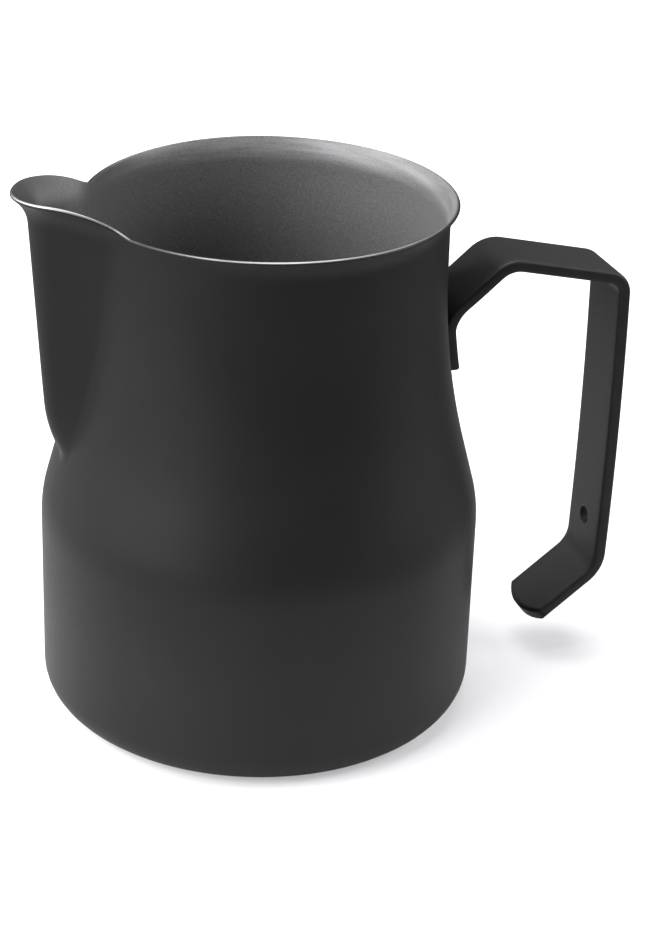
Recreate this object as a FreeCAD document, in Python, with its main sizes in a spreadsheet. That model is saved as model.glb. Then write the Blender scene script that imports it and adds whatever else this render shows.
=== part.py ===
import FreeCAD, Part

import math
import os

import Sketcher
from FreeCAD import Placement, Rotation, Vector

# Milk frothing pitcher: a drawn sheet-steel jug with a pressed spout, and a handle bent from one flat
# strip whose tab is spot-welded to the neck. Millimetres. The origin is the centre of the underside,
# +Z is up, the spout points along -X and the handle along +X.

doc = FreeCAD.newDocument("pitcher")

SIZES = (
    # the drawn jug
    ("belly_radius", 49.8, "outside radius of the straight lower wall"),
    ("rim_height", 119.7, "underside to the rim, away from the spout"),
    ("wall", 0.9, "sheet thickness"),
    ("base_corner", 7.3, "outside radius between underside and wall"),
    ("shoulder_height", "=rim_height - 71", "corner where the wall turns in, before rounding"),
    ("shoulder_bend", 30.8, "outline radius at the shoulder"),
    ("neck_radius", "=belly_radius - 9.46", "outside radius at the foot of the neck, before rounding"),
    ("neck_height", "=rim_height - 36.6", "height of that corner"),
    ("neck_bend", 163.0, "outline radius at the foot of the neck"),
    ("throat_radius", "=belly_radius - 9.85", "outside radius just under the lip"),
    ("lip_overhang", 2.1, "how far the lip flares past the throat"),
    ("lip_depth", 5.0, "height over which the lip flares"),
    # the pressed spout
    ("ridge_reach", "=belly_radius + 3", "axis to the spout's ridge, at rim height"),
    ("ridge_lean", 4.1, "lean of the ridge, degrees"),
    ("toe_height", "=rim_height - 43.7", "where the ridge starts to round back into the shoulder"),
    ("toe_bend", 30.0, "radius of that rounding"),
    ("toe_share", 0.9, "share of that radius by which the ridge draws back before it dies in the wall"),
    ("nose_low", 4.0, "plan radius of the ridge at the toe"),
    ("nose_high", 9.3, "plan radius of the ridge at the rim"),
    ("flank_low", 33.4, "half angle between the flanks at the toe, degrees"),
    ("flank_high", 34.2, "half angle between the flanks at the rim, degrees"),
    ("crease_blend", 1.2, "depth over which a flank blends into the jug"),
    ("crease_angle", 28.0, "half angle of the mouth that the spout takes, degrees"),
    ("spout_rise", 4.8, "how far the spout's rim rises above its two creases"),
    ("crest_reach", "=ridge_reach - 3", "axis to the rim's highest points, either side of the tip"),
    ("spout_lip", 3.1, "extra overhang of the lip at the spout's tip"),
    ("spout_lip_depth", 6.6, "height over which the lip flares at the tip"),
    ("draw_in", 1.95, "how much less the lip flares beside the creases, where the pressing draws it in"),
    ("draw_down", 0.6, "how far the rim sinks there"),
    ("draw_angle", 112.0, "how far round from the ridge the drawing reaches, degrees"),
    # the handle strip
    ("strip_width", 17.0, "width of the strip"),
    ("strip_gauge", 2.9, "thickness of the strip"),
    ("strip_round", 0.9, "rounding of the strip's long edges"),
    ("tab_gauge", "=strip_gauge - 0.5", "thickness of the tab, pressed to the wall's curve"),
    ("tab_gap", 0.02, "clearance between tab and neck"),
    ("tab_foot", "=rim_height - 42.1", "lower end of the tab"),
    ("tab_top", "=rim_height - 32.8", "where the tab ends and the flat strip starts"),
    ("tab_bend", 8.4, "centre-line radius between tab and rising run"),
    ("rise_angle", 41.0, "rising run above horizontal, degrees"),
    ("rise_run", 9.85, "straight length of the rising run"),
    ("elbow_bend", 7.0, "centre-line radius between rising run and top"),
    ("top_fall", 12.0, "top run below horizontal, degrees"),
    ("top_run", 22.2, "straight length of the top run"),
    ("corner_bend", 4.6, "centre-line radius between top and grip"),
    ("grip_bow", 1200.0, "radius of the grip's gentle outward bow"),
    ("grip_chord", "=rim_height - 52.5", "length of the grip between its bends"),
    ("heel_bend", 8.0, "centre-line radius between grip and foot"),
    ("foot_angle", 37.6, "foot below horizontal, pointing back at the jug, degrees"),
    ("foot_run", 17.1, "straight length of the foot"),
    ("foot_end", 13.5, "radius of the rounded end, across the strip"),
    ("hang_rise", 6.7, "hanging hole above the lower end of the grip"),
    ("hang_hole", 4.2, "diameter of the hanging hole"),
    # the spot welds
    ("weld_diameter", 4.5, "diameter of a weld"),
    ("weld_depth", 1.0, "how far a weld reaches into the tab"),
    ("weld_spacing", 8.0, "distance between the two welds"),
    # working clearance
    ("cut_past", 1.0, "how far a cutting shape reaches past what it cuts"),
)

sheet = doc.addObject("Spreadsheet::Sheet", "sizes")
for row, (name, value, note) in enumerate(SIZES, start=1):
    sheet.set(f"A{row}", name)
    sheet.set(f"B{row}", str(value))
    sheet.setAlias(f"B{row}", name)
    sheet.set(f"C{row}", note)
doc.recompute()


def size(name):
    """A driving size, as the spreadsheet holds it."""
    return float(sheet.get(name))


# ---------------------------------------------------------------- outline of the jug

def corner_arc(before, corner, after, radius):
    """The arc that rounds a corner of an outline: where it starts, its centre and where it ends."""
    back = (before - corner).normalize()
    ahead = (after - corner).normalize()
    half = back.getAngle(ahead) / 2
    reach = radius / math.tan(half)
    centre = corner + (back + ahead).normalize() * (radius / math.sin(half))
    return corner + back * reach, centre, corner + ahead * reach


base_point = Vector(size("belly_radius"), 0, 0)
shoulder_point = Vector(size("belly_radius"), 0, size("shoulder_height"))
neck_point = Vector(size("neck_radius"), 0, size("neck_height"))
throat_point = Vector(size("throat_radius"), 0, size("rim_height"))
shoulder = corner_arc(base_point, shoulder_point, neck_point, size("shoulder_bend"))
neck = corner_arc(shoulder_point, neck_point, throat_point, size("neck_bend"))


def on_line(start, end, height):
    """Radius at this height on the straight line between two outline points."""
    return start.x + (end.x - start.x) * (height - start.z) / (end.z - start.z)


def wall_radius(height, offset=0.0):
    """Outside radius of the round jug at this height, or of a surface this far outside it."""
    if height <= shoulder[0].z:
        return size("belly_radius") + offset
    if height <= shoulder[2].z:
        bend = size("shoulder_bend") + offset
        return shoulder[1].x + math.sqrt(bend ** 2 - (height - shoulder[1].z) ** 2)
    if height <= neck[0].z:
        slope = (neck[0] - shoulder[2]).normalize()
        return on_line(shoulder[2], neck[0], height) + offset / slope.z
    if height <= neck[2].z:
        bend = size("neck_bend") - offset
        return neck[1].x - math.sqrt(bend ** 2 - (height - neck[1].z) ** 2)
    return on_line(neck[2], throat_point, height) + offset


# ---------------------------------------------------------------- spout

def ease(share):
    """A share from 0 to 1 that starts and ends smoothly."""
    share = min(max(share, 0.0), 1.0)
    return share * share * (3 - 2 * share)


def hump(share):
    """A share from 0 to 1 that starts steeply and levels out."""
    return 1 - (1 - min(max(share, 0.0), 1.0)) ** 2


def ridge_reach(height):
    """Distance from the axis to the spout's ridge."""
    lean = math.tan(math.radians(size("ridge_lean")))
    reach = size("ridge_reach") - (size("rim_height") - height) * lean
    drop = min(max(size("toe_height") - height, 0.0), size("toe_share") * size("toe_bend"))
    return reach - size("toe_bend") + math.sqrt(size("toe_bend") ** 2 - drop ** 2)


def spout_radius(height, turn):
    """Distance from the axis to the spout's rounded wedge, this far round from the ridge."""
    toe = size("toe_height") - size("toe_bend") / 2
    share = min(max((height - toe) / (size("rim_height") - toe), 0.0), 1.0)
    nose = size("nose_low") + (size("nose_high") - size("nose_low")) * share ** 3
    flank = math.radians(size("flank_low") + (size("flank_high") - size("flank_low")) * share)
    centre = ridge_reach(height) - nose
    if turn + flank >= math.pi / 2:
        return 0.0
    if turn <= math.atan2(nose * math.cos(flank), centre + nose * math.sin(flank)):
        return centre * math.cos(turn) + math.sqrt(nose ** 2 - (centre * math.sin(turn)) ** 2)
    return (centre * math.sin(flank) + nose) / math.sin(turn + flank)


def pressed_radius(height, turn):
    """Outside radius with the spout blended in, before the lip is flared."""
    round_part = wall_radius(height)
    wedge = spout_radius(height, abs(turn))
    blend = size("crease_blend")
    overlap = max(blend - abs(round_part - wedge), 0.0)
    return max(round_part, wedge) + overlap ** 2 / (4 * blend)


def plan_point(height, turn):
    """Point of the pressed wall in plan; turn is measured from the spout's ridge."""
    reach = pressed_radius(height, turn)
    return Vector(-reach * math.cos(turn), -reach * math.sin(turn), 0)


def skin_point(station, turn):
    """Point of the outer skin; station is the way up the outline from the edge of the underside."""
    corner = size("base_corner")
    level = station - corner_length + corner
    if level < corner:
        swing = max(station, 0.0) / corner
        reach = size("belly_radius") - corner + corner * math.sin(swing) + min(station, 0.0)
        return Vector(-reach * math.cos(turn), -reach * math.sin(turn), corner * (1 - math.cos(swing)))
    step = 0.002
    rim = size("rim_height")
    here = plan_point(level, turn)
    along = plan_point(level, turn + step) - plan_point(level, turn - step)
    outward = Vector(along.y, -along.x, 0).normalize()
    crease = size("throat_radius") * math.cos(math.radians(size("crease_angle")))
    past_crease = -here.x - crease if abs(turn) < math.pi / 2 else 0.0
    tip_share = hump(past_crease / (size("ridge_reach") - crease))
    crest_share = 1 - (1 - max(past_crease, 0.0) / (size("crest_reach") - crease)) ** 2
    drawn = 1 - ease((math.degrees(abs(turn)) - size("crease_angle"))
                     / (size("draw_angle") - size("crease_angle")))
    depth = size("lip_depth") + (size("spout_lip_depth") - size("lip_depth")) * tip_share
    flare = max(1 - (rim - level) / depth, 0.0) ** 2
    overhang = (size("lip_overhang") - size("draw_in") * drawn + size("spout_lip") * tip_share) * flare
    pressed = ease(1 - (rim - level) / (rim - size("toe_height")))
    rise = size("spout_rise") * crest_share * pressed - size("draw_down") * drawn * flare
    return here + outward * overhang + Vector(0, 0, level + rise)


def inner_point(station, turn):
    """Point of the inner skin, one wall thickness in from the outer one."""
    step = 0.01
    up = skin_point(station + step, turn) - skin_point(station - step, turn)
    round_way = skin_point(station, turn + step) - skin_point(station, turn - step)
    outward = round_way.cross(up).normalize()
    return skin_point(station, turn) - outward * size("wall")


# ---------------------------------------------------------------- skins of the jug

def spaced(start, end, count):
    """Evenly spaced values, both ends included."""
    return [start + (end - start) * i / (count - 1) for i in range(count)]


def section_turns():
    """Angles round the jug, from the handle side: close together to a third past the creases."""
    spout_side = math.radians(size("crease_angle")) * 4 / 3
    back = spaced(-math.pi, -spout_side, 25)
    front = spaced(-spout_side, spout_side, 61)
    return back[:-1] + front + [-turn for turn in reversed(back)][1:]


def skin_stations():
    """Stations of the sections: close together round the base corner and in the flared lip."""
    rim = corner_length + size("rim_height") - size("base_corner")
    lip = rim - size("spout_lip_depth")
    return spaced(0, corner_length, 9)[:-1] + spaced(corner_length, lip, 45)[:-1] + spaced(lip, rim, 9)


def skin(point):
    """A closed spline surface through the sections that point(station, turn) gives."""
    turns = section_turns()
    stations = skin_stations()
    round_way = [(turn + math.pi) / (2 * math.pi) for turn in turns]
    section = Part.BSplineCurve()
    rows = []
    for station in stations:
        points = [point(station, turn) for turn in turns[:-1]]
        section.interpolate(Points=points, Parameters=round_way, PeriodicFlag=True)
        rows.append(section.getPoles())
    column = Part.BSplineCurve()
    poles = []
    for across in zip(*rows):
        column.interpolate(Points=list(across), Parameters=stations)
        poles.append(column.getPoles())
    surface = Part.BSplineSurface()
    surface.buildFromPolesMultsKnots(
        poles, section.getMultiplicities(), column.getMultiplicities(),
        section.getKnots(), column.getKnots(), True, False, section.Degree, column.Degree)
    return surface.toShape()


def ring_edges(face):
    """The lower and the upper closed edge of a skin."""
    rings = [edge for edge in face.Edges if not edge.isSeam(face)]
    return sorted(rings, key=lambda edge: edge.BoundBox.ZMax)


def pitcher_shape():
    """The jug: outer and inner skins, flat bottoms, and the bare cut edge of the sheet at the rim."""
    faces = [skin(skin_point), skin(inner_point)]
    lower = [ring_edges(face)[0] for face in faces]
    upper = [ring_edges(face)[1] for face in faces]
    faces += [Part.Face(Part.Wire([ring])) for ring in lower]
    faces += Part.makeRuledSurface(*upper).Faces
    sewn = Part.Compound(faces)
    sewn.sewShape()
    solid = Part.makeSolid(sewn.Shells[0])
    if solid.Volume < 0:
        solid.reverse()
    return solid


corner_length = size("base_corner") * math.pi / 2
pitcher_body = doc.addObject("Part::Feature", "pitcher_body")
pitcher_body.Label = "pitcher_body"
pitcher_body.Shape = pitcher_shape()
pitcher_body.Placement = Placement()


# ---------------------------------------------------------------- handle

def neck_plate(low, high, back, front, width):
    """A plate curved like the neck at the handle side, between two heights and two offsets from it."""
    levels = (low, (low + high) / 2, high)
    inside = Part.Arc(*[Vector(wall_radius(level, back), 0, level) for level in levels])
    outside = Part.Arc(*[Vector(wall_radius(level, front), 0, level) for level in levels])
    outline = Part.Wire([
        inside.toShape(),
        Part.LineSegment(inside.EndPoint, outside.EndPoint).toShape(),
        outside.toShape(),
        Part.LineSegment(outside.StartPoint, inside.StartPoint).toShape(),
    ])
    axis = (Vector(0, 0, 0), Vector(0, 0, 1))
    reach = 1.5 * math.degrees(math.asin(width / 2 / wall_radius(high, back)))
    face = Part.Face(outline)
    face.rotate(*axis, -reach)
    near_corner = Vector(wall_radius(high, back) / 2, -width / 2, low - size("cut_past"))
    sides = Part.makeBox(2 * size("belly_radius"), width, high, near_corner)
    return face.revolve(*axis, 2 * reach).common(sides)


def sketch_on(body, role, name):
    """A sketch on one of the body's own origin planes."""
    plane = [item for item in body.Origin.OriginFeatures if item.Role == role][0]
    sketch = body.newObject("Sketcher::SketchObject", name)
    sketch.AttachmentSupport = (plane, [""])
    sketch.MapMode = "FlatFace"
    return sketch


def bind(sketch, constraint, formula):
    """Add a constraint whose value the spreadsheet drives."""
    index = sketch.addConstraint(constraint)
    sketch.setExpression(f"Constraints[{index}]", formula)


def draw_path(sketch, start, heading, runs):
    """Draw straight runs and bends end to end, each tangent to the one before; returns the joints.

    A run is ("line", size name of its length), ("bend", size name of its radius, degrees turned to
    the right) or ("bow", size name of its radius, size name of its chord); a bow's chord is vertical.
    """
    here = start
    joints = [start]
    for run in runs:
        way = Vector(math.cos(heading), math.sin(heading), 0)
        right = Vector(way.y, -way.x, 0)
        if run[0] == "line":
            there = here + way * size(run[1])
            index = sketch.addGeometry(Part.LineSegment(here, there), False)
            bind(sketch, Sketcher.Constraint("Distance", index, size(run[1])), f"sizes.{run[1]}")
            here_end, there_end = 1, 2
        else:
            radius = size(run[1])
            turn = math.radians(run[2]) if run[0] == "bend" else 2 * math.asin(size(run[2]) / 2 / radius)
            centre = here + right * radius
            first = math.atan2(here.y - centre.y, here.x - centre.x)
            arc = Part.ArcOfCircle(Part.Circle(centre, Vector(0, 0, 1), radius), first - turn, first)
            index = sketch.addGeometry(arc, False)
            there = centre + Vector(math.cos(first - turn), math.sin(first - turn), 0) * radius
            bind(sketch, Sketcher.Constraint("Radius", index, radius), f"sizes.{run[1]}")
            here_end, there_end = 2, 1
            heading -= turn
            if run[0] == "bow":
                chord = Sketcher.Constraint("DistanceY", index, there_end, index, here_end, size(run[2]))
                bind(sketch, chord, f"sizes.{run[2]}")
                sketch.addConstraint(Sketcher.Constraint("Vertical", index, here_end, index, there_end))
        if index:
            sketch.addConstraint(Sketcher.Constraint("Tangent", index - 1, last_end, index, here_end))
        here, last_end = there, there_end
        joints.append(there)
    return joints


strip = doc.addObject("PartDesign::Body", "strip")

# the bends turn the strip from straight up, over the top and back under the hand
bow_half = math.degrees(math.asin(size("grip_chord") / 2 / size("grip_bow")))
start_x = wall_radius(size("tab_top"), size("tab_gauge")) - size("strip_gauge") / 2
path = sketch_on(strip, "XZ_Plane", "strip_path")
joints = draw_path(path, Vector(start_x, size("tab_top"), 0), math.radians(90), (
    ("bend", "tab_bend", 90 - size("rise_angle")),
    ("line", "rise_run"),
    ("bend", "elbow_bend", size("rise_angle") + size("top_fall")),
    ("line", "top_run"),
    ("bend", "corner_bend", 90 - size("top_fall") - bow_half),
    ("bow", "grip_bow", "grip_chord"),
    ("bend", "heel_bend", 90 - size("foot_angle") - bow_half),
    ("line", "foot_run"),
))
path.addConstraint(Sketcher.Constraint("DistanceX", -1, 1, 0, 2, start_x))
bind(path, Sketcher.Constraint("DistanceY", -1, 1, 0, 2, size("tab_top")), "sizes.tab_top")
path.addConstraint(Sketcher.Constraint("Horizontal", 0, 2, 0, 3))
bind(path, Sketcher.Constraint("Angle", 1, math.radians(size("rise_angle"))), "sizes.rise_angle * 1 deg")
bind(path, Sketcher.Constraint("Angle", 3, math.radians(-size("top_fall"))), "-sizes.top_fall * 1 deg")
bind(path, Sketcher.Constraint("Angle", 7, math.radians(size("foot_angle") - 180)),
     "(sizes.foot_angle - 180) * 1 deg")

section = sketch_on(strip, "XY_Plane", "strip_section")
section.setExpression("AttachmentOffset.Base.z", "sizes.tab_top")
half_gauge = size("strip_gauge") / 2 - size("strip_round")
half_width = size("strip_width") / 2 - size("strip_round")
for side, (along, across) in enumerate(((1, 1), (-1, 1), (-1, -1), (1, -1))):
    middle = Vector(start_x + along * half_gauge, across * half_width, 0)
    corner = Part.Circle(middle, Vector(0, 0, 1), size("strip_round"))
    quarter = math.pi / 2
    section.addGeometry(Part.ArcOfCircle(corner, side * quarter, (side + 1) * quarter), False)
for side in range(4):
    corner, following = section.Geometry[side], section.Geometry[(side + 1) % 4]
    section.addGeometry(Part.LineSegment(corner.EndPoint, following.StartPoint), False)
for side in range(4):
    section.addConstraint(Sketcher.Constraint("Tangent", side, 2, side + 4, 1))
    section.addConstraint(Sketcher.Constraint("Tangent", side + 4, 2, (side + 1) % 4, 1))
    section.addConstraint(Sketcher.Constraint("Vertical" if side % 2 else "Horizontal", side + 4))
for side in (1, 2, 3):
    section.addConstraint(Sketcher.Constraint("Equal", 0, side))
bind(section, Sketcher.Constraint("Radius", 0, size("strip_round")), "sizes.strip_round")
for side, sign in ((0, 1), (2, -1)):
    section.addConstraint(Sketcher.Constraint("DistanceX", -1, 1, side, 3, start_x + sign * half_gauge))
bind(section, Sketcher.Constraint("DistanceY", -1, 1, 0, 3, half_width),
     "sizes.strip_width / 2 - sizes.strip_round")
bind(section, Sketcher.Constraint("DistanceY", 2, 3, -1, 1, half_width),
     "sizes.strip_width / 2 - sizes.strip_round")

bent = strip.newObject("PartDesign::AdditivePipe", "bent_strip")
bent.Profile = section
bent.Spine = path
doc.recompute()

# the foot's rounded end: everything past an arc across the strip is cut away
foot_tip = joints[-1]
end = sketch_on(strip, "XY_Plane", "foot_outline")
end.AttachmentOffset = Placement(Vector(foot_tip.x, 0, foot_tip.y),
                                 Rotation(Vector(0, 1, 0), 180 - size("foot_angle")))
end.setExpression("AttachmentOffset.Rotation.Angle", "180 - sizes.foot_angle")
side_clear = size("strip_width") / 2 + size("cut_past")
half_arc = math.asin(side_clear / size("foot_end"))
round_end = Part.Circle(Vector(-size("foot_end"), 0, 0), Vector(0, 0, 1), size("foot_end"))
end.addGeometry(Part.ArcOfCircle(round_end, -half_arc, half_arc), False)
low_corner, high_corner = end.Geometry[0].StartPoint, end.Geometry[0].EndPoint
beyond = size("cut_past")
outline = (high_corner, Vector(beyond, high_corner.y, 0), Vector(beyond, low_corner.y, 0), low_corner)
for here, there in zip(outline, outline[1:]):
    end.addGeometry(Part.LineSegment(here, there), False)
for index in range(4):
    end.addConstraint(Sketcher.Constraint("Coincident", index, 2, (index + 1) % 4, 1))
end.addConstraint(Sketcher.Constraint("Horizontal", 1))
end.addConstraint(Sketcher.Constraint("Vertical", 2))
end.addConstraint(Sketcher.Constraint("Horizontal", 3))
bind(end, Sketcher.Constraint("Radius", 0, size("foot_end")), "sizes.foot_end")
end.addConstraint(Sketcher.Constraint("PointOnObject", 0, 3, -1))
bind(end, Sketcher.Constraint("DistanceX", 0, 3, -1, 1, size("foot_end")), "sizes.foot_end")
bind(end, Sketcher.Constraint("DistanceX", -1, 1, 2, 1, beyond), "sizes.cut_past")
bind(end, Sketcher.Constraint("DistanceY", -1, 1, 1, 1, side_clear), "sizes.strip_width / 2 + sizes.cut_past")
bind(end, Sketcher.Constraint("DistanceY", 3, 2, -1, 1, side_clear), "sizes.strip_width / 2 + sizes.cut_past")
rounded = strip.newObject("PartDesign::Pocket", "rounded_foot")
rounded.Profile = end
rounded.Type = "Length"
rounded.SideType = "Symmetric"
rounded.setExpression("Length", "sizes.strip_gauge * 3")
doc.recompute()

# the hanging hole, a fixed way above the joint where the grip turns into the foot
grip_low = joints[6]
hang_height = grip_low.y + size("hang_rise")
hole = sketch_on(strip, "YZ_Plane", "hang_hole")
hole.addGeometry(Part.Circle(Vector(0, hang_height, 0), Vector(0, 0, 1), size("hang_hole") / 2), False)
bind(hole, Sketcher.Constraint("Diameter", 0, size("hang_hole")), "sizes.hang_hole")
hole.addConstraint(Sketcher.Constraint("PointOnObject", 0, 3, -2))
hole.addConstraint(Sketcher.Constraint("DistanceY", -1, 1, 0, 3, hang_height))
drilled = strip.newObject("PartDesign::Pocket", "drilled_hole")
drilled.Profile = hole
drilled.Type = "ThroughAll"
drilled.Reversed = True
doc.recompute()
removed = rounded.Shape.Volume - drilled.Shape.Volume
drill_area = math.pi * size("hang_hole") ** 2 / 4
if abs(removed / (drill_area * size("strip_gauge")) - 1) > 0.05:
    raise RuntimeError("the hanging hole doesn't go straight through the grip once")


def curved_plate(name, low, high, back, front):
    """A document object for a plate that follows the neck behind the handle."""
    plate = doc.addObject("Part::Feature", name)
    plate.Shape = neck_plate(low, high, back, front, size("strip_width"))
    plate.Placement = Placement()
    return plate


# the tab is the strip's end pressed to the neck's curve, its outer edges rounded like the strip's
tab = curved_plate("tab", size("tab_foot"), size("tab_top"), size("tab_gap"), size("tab_gauge"))
tab_middle = (size("tab_foot") + size("tab_top")) / 2
outer_edges = []
for edge in tab.Shape.Edges:
    centre = edge.CenterOfMass
    on_side = abs(centre.y) > size("strip_width") / 2 - 0.01
    away = math.hypot(centre.x, centre.y) - wall_radius(min(max(centre.z, size("tab_foot")), size("tab_top")))
    if on_side and abs(centre.z - tab_middle) < 1 and away > size("tab_gauge") / 2:
        outer_edges.append(edge)
tab.Shape = tab.Shape.makeFillet(size("strip_round"), outer_edges)

blank = doc.addObject("Part::MultiFuse", "handle_blank")
blank.Shapes = [strip, tab]

# what the neck takes from the strip where the rising run meets it
core_foot = size("tab_foot") - size("cut_past")
core_top = size("tab_top") + 2 * size("strip_gauge")
neck_core = curved_plate("neck_core", core_foot, core_top, -3 * size("strip_gauge"), size("tab_gap"))
fitted = doc.addObject("Part::Cut", "fitted_handle")
fitted.Base = blank
fitted.Tool = neck_core

# two spot welds side by side, each sunk into the back of the tab and meeting the neck's wall
weld_layer = curved_plate(
    "weld_layer", size("tab_foot"), size("tab_top"), size("tab_gap"), size("weld_depth"))
electrodes = doc.addObject("Part::MultiFuse", "weld_electrodes")
pins = []
for side, sign in (("left", 1), ("right", -1)):
    pin = doc.addObject("Part::Cylinder", f"electrode_{side}")
    pin.setExpression("Radius", "sizes.weld_diameter / 2")
    pin.setExpression("Height", "sizes.belly_radius")
    pin.Placement = Placement(Vector(size("neck_radius") / 2, 0, 0), Rotation(Vector(0, 1, 0), 90))
    pin.setExpression("Placement.Base.y", f"{sign} * sizes.weld_spacing / 2")
    pin.setExpression("Placement.Base.z", "(sizes.tab_foot + sizes.tab_top) / 2")
    pins.append(pin)
electrodes.Shapes = pins
spot_welds = doc.addObject("Part::Common", "spot_welds")
spot_welds.Label = "spot_welds"
spot_welds.Base = electrodes
spot_welds.Tool = weld_layer

handle = doc.addObject("Part::Cut", "handle")
handle.Label = "handle"
handle.Base = fitted
handle.Tool = spot_welds
doc.recompute()


# ---------------------------------------------------------------- checks and export

SUB_PARTS = {pitcher_body: 1, handle: 1, spot_welds: 2}

for item in doc.Objects:
    if "Invalid" in item.State or "Error" in item.State:
        raise RuntimeError(f"{item.Name} didn't build: {item.State}")
for part, solids in SUB_PARTS.items():
    if part.Shape.isNull() or not part.Shape.isValid():
        raise RuntimeError(f"{part.Label} has no valid shape")
    if len(part.Shape.Solids) != solids:
        raise RuntimeError(f"{part.Label} has {len(part.Shape.Solids)} solids, not {solids}")

os.makedirs("parts", exist_ok=True)
for part in SUB_PARTS:
    part.Shape.exportStep(f"parts/{part.Label}.step")
    box = part.Shape.BoundBox
    print(f"{part.Label}: {part.Shape.Volume / 1000:.2f} cm3, {box.XLength:.1f} x {box.YLength:.1f} x "
          f"{box.ZLength:.1f} mm")
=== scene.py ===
import math

import bpy
from mathutils import Matrix, Vector


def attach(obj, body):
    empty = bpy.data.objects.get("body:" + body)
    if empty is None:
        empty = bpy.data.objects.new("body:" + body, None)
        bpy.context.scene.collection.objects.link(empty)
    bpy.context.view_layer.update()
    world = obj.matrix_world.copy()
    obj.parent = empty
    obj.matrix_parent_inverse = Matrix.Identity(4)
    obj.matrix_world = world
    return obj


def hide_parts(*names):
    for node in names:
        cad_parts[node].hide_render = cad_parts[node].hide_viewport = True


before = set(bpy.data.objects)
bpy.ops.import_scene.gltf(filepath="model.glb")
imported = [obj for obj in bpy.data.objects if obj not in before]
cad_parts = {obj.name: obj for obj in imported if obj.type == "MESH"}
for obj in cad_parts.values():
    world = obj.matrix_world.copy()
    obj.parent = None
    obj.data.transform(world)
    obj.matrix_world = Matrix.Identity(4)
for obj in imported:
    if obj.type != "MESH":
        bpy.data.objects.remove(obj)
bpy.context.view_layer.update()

MM = 0.001  # every size below is in millimetres, and meshes are made in metres


# ---------------------------------------------------------------- the jug's outline
# The jug is one sheet of steel, drawn deep into a can and then necked in above the shoulder. The
# outline has a straight wall, a rounded shoulder, a long slack curve up the neck and a flared lip.

BELLY = 49.8           # outside radius of the straight wall
RIM = 119.7            # height of the rim, away from the spout
SHEET = 0.9            # thickness of the steel
BASE_CORNER = 7.3      # outside radius between underside and wall
THROAT = 39.95         # outside radius just under the lip
LIP_OVERHANG = 2.1     # how far the lip flares past the throat
LIP_DEPTH = 5.0        # height over which it flares


def rounded_corner(before, corner, after, radius):
    """Start, centre and end of the arc that rounds a corner of the outline."""
    back = (before - corner).normalized()
    ahead = (after - corner).normalized()
    half = back.angle(ahead) / 2
    reach = radius / math.tan(half)
    centre = corner + (back + ahead).normalized() * (radius / math.sin(half))
    return corner + back * reach, centre, corner + ahead * reach


FOOT_POINT = Vector((BELLY, 0))
SHOULDER_POINT = Vector((BELLY, 48.7))
NECK_POINT = Vector((40.34, 83.1))
THROAT_POINT = Vector((THROAT, RIM))
SHOULDER_BEND = 30.8
NECK_BEND = 163.0
shoulder = rounded_corner(FOOT_POINT, SHOULDER_POINT, NECK_POINT, SHOULDER_BEND)
neck = rounded_corner(SHOULDER_POINT, NECK_POINT, THROAT_POINT, NECK_BEND)


def on_line(start, end, height):
    """Radius at this height on the straight line between two outline points."""
    return start.x + (end.x - start.x) * (height - start.y) / (end.y - start.y)


def wall_radius(height):
    """Outside radius of the round jug at this height, under the lip."""
    if height <= shoulder[0].y:
        return BELLY
    if height <= shoulder[2].y:
        return shoulder[1].x + math.sqrt(SHOULDER_BEND ** 2 - (height - shoulder[1].y) ** 2)
    if height <= neck[0].y:
        return on_line(shoulder[2], neck[0], height)
    if height <= neck[2].y:
        return neck[1].x - math.sqrt(NECK_BEND ** 2 - (height - neck[1].y) ** 2)
    return on_line(neck[2], THROAT_POINT, height)


# ---------------------------------------------------------------- the spout
# The spout is pressed out of the same sheet: two flanks that meet the neck in a soft crease and run
# together in a rounded ridge. The ridge fades into the shoulder below and lifts the lip at its tip.

RIDGE_REACH = 52.8     # axis to the ridge, at rim height
RIDGE_LEAN = 4.1       # degrees
TOE_HEIGHT = 76.0      # where the ridge starts to round back into the shoulder
TOE_BEND = 30.0
TOE_SHARE = 0.9        # how much of that bend the ridge follows
NOSE_LOW, NOSE_HIGH = 4.0, 9.3       # plan radius of the ridge, at the toe and at the rim
FLANK_LOW, FLANK_HIGH = 33.4, 34.2   # half angle between the flanks, degrees
CREASE_BLEND = 1.2
CREASE_ANGLE = 28.0    # half angle of the mouth that the spout takes, degrees
SPOUT_RISE = 4.8       # how far the spout's rim stands above its two creases
CREST_REACH = 49.8     # axis to the rim's highest points, either side of the tip
TIP_OVERHANG = 3.1     # extra overhang of the lip at the tip
TIP_DEPTH = 6.6        # height over which the lip flares at the tip
DRAW_IN = 1.95         # how much less the lip flares beside the creases
DRAW_DOWN = 0.6        # how far the rim sinks there
DRAW_ANGLE = 112.0     # how far round from the ridge the pressing draws the rim, degrees
PLAN_STEP = 0.002      # turn either way over which the wall's direction in plan is measured
SKIN_STEP = 0.01       # turn, and length up the outline, over which the skin's slope is measured


def ease(share):
    """A share from 0 to 1 that starts and ends smoothly."""
    share = min(max(share, 0.0), 1.0)
    return share * share * (3 - 2 * share)


def ridge_reach(height):
    """Distance from the axis to the spout's ridge."""
    reach = RIDGE_REACH - (RIM - height) * math.tan(math.radians(RIDGE_LEAN))
    drop = min(max(TOE_HEIGHT - height, 0.0), TOE_SHARE * TOE_BEND)
    return reach - TOE_BEND + math.sqrt(TOE_BEND ** 2 - drop ** 2)


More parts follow.
